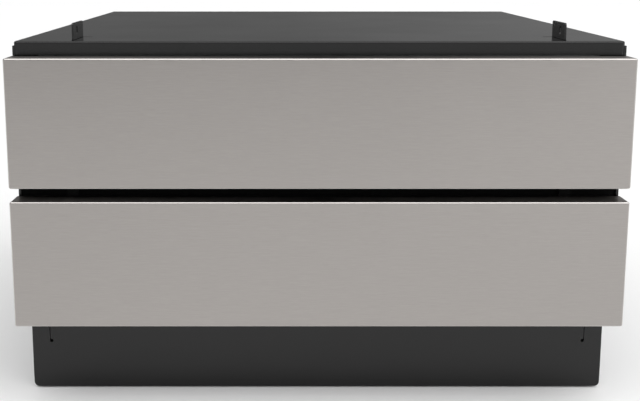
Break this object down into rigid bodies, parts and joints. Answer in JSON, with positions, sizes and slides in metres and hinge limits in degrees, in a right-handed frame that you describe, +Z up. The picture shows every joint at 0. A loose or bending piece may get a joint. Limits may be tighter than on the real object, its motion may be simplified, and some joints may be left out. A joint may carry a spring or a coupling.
{
  "type": "laundry pedestal",
  "caption": "Steel laundry pedestal: wide pull-out drawers with flat brushed fronts, dark cabinet, recessed kick plate, levelling feet and hold-down brackets for a machine.",
  "frame": {"origin": "middle of the footprint on the floor", "axes": "+X to the right seen from the front (the drawer fronts' length), -Y out of the drawer fronts, +Z up"},
  "size_m": [0.684, 0.68, 0.4376],
  "materials": {
    "brushed_front": "fine horizontal brushing",
    "graphite_paint": "semi-gloss powder coat",
    "matt_black": "dead-matt black primer",
    "galvanised_sheet": "galvanised, dull",
    "drawer_paint": "satin powder coat",
    "slide_steel": "zinc plated",
    "cage_steel": "bright, greased",
    "zinc_fasteners": "zinc plated",
    "foot_plastic": "moulded",
    "drawer_mat": "fine ribs",
    "bumper_rubber": "matt",
    "magnet": "sintered, nickel plated"
  },
  "bodies": {
    "chassis": {"top_cover": "graphite_paint", "side_panel_left": "graphite_paint", "side_panel_right": "graphite_paint", "back_panel": "galvanised_sheet", "base_tray": "matt_black", "base_rail_left": "galvanised_sheet", "base_rail_right": "galvanised_sheet", "front_mid_rail": "matt_black", "corner_post_front_left": "matt_black", "corner_post_front_right": "matt_black", "corner_post_rear_left": "galvanised_sheet", "corner_post_rear_right": "galvanised_sheet", "top_braces": "galvanised_sheet", "hold_down_bracket_left": "graphite_paint", "hold_down_bracket_right": "graphite_paint", "kick_plate": "graphite_paint", "foot_nuts": "zinc_fasteners", "chassis_screws": "zinc_fasteners", "front_bumpers": "bumper_rubber", "catch_magnets": "magnet", "lower_slide_outer_left": "slide_steel", "lower_slide_outer_right": "slide_steel", "upper_slide_outer_left": "slide_steel", "upper_slide_outer_right": "slide_steel"},
    "lower_drawer": {"lower_front_skin": "brushed_front", "lower_front_backing": "galvanised_sheet", "lower_box_side_left": "drawer_paint", "lower_box_side_right": "drawer_paint", "lower_box_floor": "drawer_paint", "lower_box_back": "drawer_paint", "lower_mat": "drawer_mat", "lower_slide_inner_left": "slide_steel", "lower_slide_inner_right": "slide_steel"},
    "lower_middle_members": {"lower_slide_middle_left": "slide_steel", "lower_slide_middle_right": "slide_steel"},
    "lower_outer_cage_set": {"lower_outer_cages": "cage_steel"},
    "lower_inner_cage_set": {"lower_inner_cages": "cage_steel"},
    "lower_divider_set": {"lower_divider": "drawer_paint"},
    "upper_drawer": {"upper_front_skin": "brushed_front", "upper_front_backing": "galvanised_sheet", "upper_box_side_left": "drawer_paint", "upper_box_side_right": "drawer_paint", "upper_box_floor": "drawer_paint", "upper_box_back": "drawer_paint", "upper_mat": "drawer_mat", "upper_slide_inner_left": "slide_steel", "upper_slide_inner_right": "slide_steel"},
    "upper_middle_members": {"upper_slide_middle_left": "slide_steel", "upper_slide_middle_right": "slide_steel"},
    "upper_outer_cage_set": {"upper_outer_cages": "cage_steel"},
    "upper_inner_cage_set": {"upper_inner_cages": "cage_steel"},
    "upper_divider_set": {"upper_divider": "drawer_paint"},
    "front_left_foot_pad": {"foot_pad_front_left": "foot_plastic"},
    "front_left_foot_stud": {"foot_stud_front_left": "zinc_fasteners"},
    "front_right_foot_pad": {"foot_pad_front_right": "foot_plastic"},
    "front_right_foot_stud": {"foot_stud_front_right": "zinc_fasteners"},
    "rear_left_foot_pad": {"foot_pad_rear_left": "foot_plastic"},
    "rear_left_foot_stud": {"foot_stud_rear_left": "zinc_fasteners"},
    "rear_right_foot_pad": {"foot_pad_rear_right": "foot_plastic"},
    "rear_right_foot_stud": {"foot_stud_rear_right": "zinc_fasteners"}
  },
  "joints": [
    {"name": "lower_drawer_slide", "type": "slide", "parent": "chassis", "child": "lower_drawer", "axis": [0, -1, 0], "range_m": [0, 0.51]},
    {"name": "lower_middle_slide", "type": "slide", "parent": "chassis", "child": "lower_middle_members", "axis": [0, -1, 0], "range_m": [0, 0.255]},
    {"name": "lower_outer_cage_roll", "type": "slide", "parent": "chassis", "child": "lower_outer_cage_set", "axis": [0, -1, 0], "range_m": [0, 0.1275]},
    {"name": "lower_inner_cage_roll", "type": "slide", "parent": "chassis", "child": "lower_inner_cage_set", "axis": [0, -1, 0], "range_m": [0, 0.3825]},
    {"name": "lower_divider_slide", "type": "slide", "parent": "lower_drawer", "child": "lower_divider_set", "axis": [0, -1, 0], "range_m": [-0.15, 0.15]},
    {"name": "upper_drawer_slide", "type": "slide", "parent": "chassis", "child": "upper_drawer", "axis": [0, -1, 0], "range_m": [0, 0.51]},
    {"name": "upper_middle_slide", "type": "slide", "parent": "chassis", "child": "upper_middle_members", "axis": [0, -1, 0], "range_m": [0, 0.255]},
    {"name": "upper_outer_cage_roll", "type": "slide", "parent": "chassis", "child": "upper_outer_cage_set", "axis": [0, -1, 0], "range_m": [0, 0.1275]},
    {"name": "upper_inner_cage_roll", "type": "slide", "parent": "chassis", "child": "upper_inner_cage_set", "axis": [0, -1, 0], "range_m": [0, 0.3825]},
    {"name": "upper_divider_slide", "type": "slide", "parent": "upper_drawer", "child": "upper_divider_set", "axis": [0, -1, 0], "range_m": [-0.15, 0.15]},
    {"name": "front_left_foot_lift", "type": "slide", "parent": "chassis", "child": "front_left_foot_pad", "axis": [0, 0, -1], "range_m": [0, 0.02]},
    {"name": "front_left_foot_turn", "type": "hinge", "parent": "front_left_foot_pad", "child": "front_left_foot_stud", "pos_m": [-0.3185, -0.247, 0.02], "axis": [0, 0, -1], "range_deg": [0, 4801]},
    {"name": "front_right_foot_lift", "type": "slide", "parent": "chassis", "child": "front_right_foot_pad", "axis": [0, 0, -1], "range_m": [0, 0.02]},
    {"name": "front_right_foot_turn", "type": "hinge", "parent": "front_right_foot_pad", "child": "front_right_foot_stud", "pos_m": [0.3185, -0.247, 0.02], "axis": [0, 0, -1], "range_deg": [0, 4801]},
    {"name": "rear_left_foot_lift", "type": "slide", "parent": "chassis", "child": "rear_left_foot_pad", "axis": [0, 0, -1], "range_m": [0, 0.02]},
    {"name": "rear_left_foot_turn", "type": "hinge", "parent": "rear_left_foot_pad", "child": "rear_left_foot_stud", "pos_m": [-0.3185, 0.2964, 0.02], "axis": [0, 0, -1], "range_deg": [0, 4801]},
    {"name": "rear_right_foot_lift", "type": "slide", "parent": "chassis", "child": "rear_right_foot_pad", "axis": [0, 0, -1], "range_m": [0, 0.02]},
    {"name": "rear_right_foot_turn", "type": "hinge", "parent": "rear_right_foot_pad", "child": "rear_right_foot_stud", "pos_m": [0.3185, 0.2964, 0.02], "axis": [0, 0, -1], "range_deg": [0, 4801]}
  ],
  "couplings": [
    {"joint": "lower_middle_slide", "follows": "lower_drawer_slide", "ratio": 0.5},
    {"joint": "lower_outer_cage_roll", "follows": "lower_drawer_slide", "ratio": 0.25},
    {"joint": "lower_inner_cage_roll", "follows": "lower_drawer_slide", "ratio": 0.75},
    {"joint": "upper_middle_slide", "follows": "upper_drawer_slide", "ratio": 0.5},
    {"joint": "upper_outer_cage_roll", "follows": "upper_drawer_slide", "ratio": 0.25},
    {"joint": "upper_inner_cage_roll", "follows": "upper_drawer_slide", "ratio": 0.75},
    {"joint": "front_left_foot_turn", "follows": "front_left_foot_lift", "rad_per_m": 4188.8},
    {"joint": "front_right_foot_turn", "follows": "front_right_foot_lift", "rad_per_m": 4188.8},
    {"joint": "rear_left_foot_turn", "follows": "rear_left_foot_lift", "rad_per_m": 4188.8},
    {"joint": "rear_right_foot_turn", "follows": "rear_right_foot_lift", "rad_per_m": 4188.8}
  ]
}
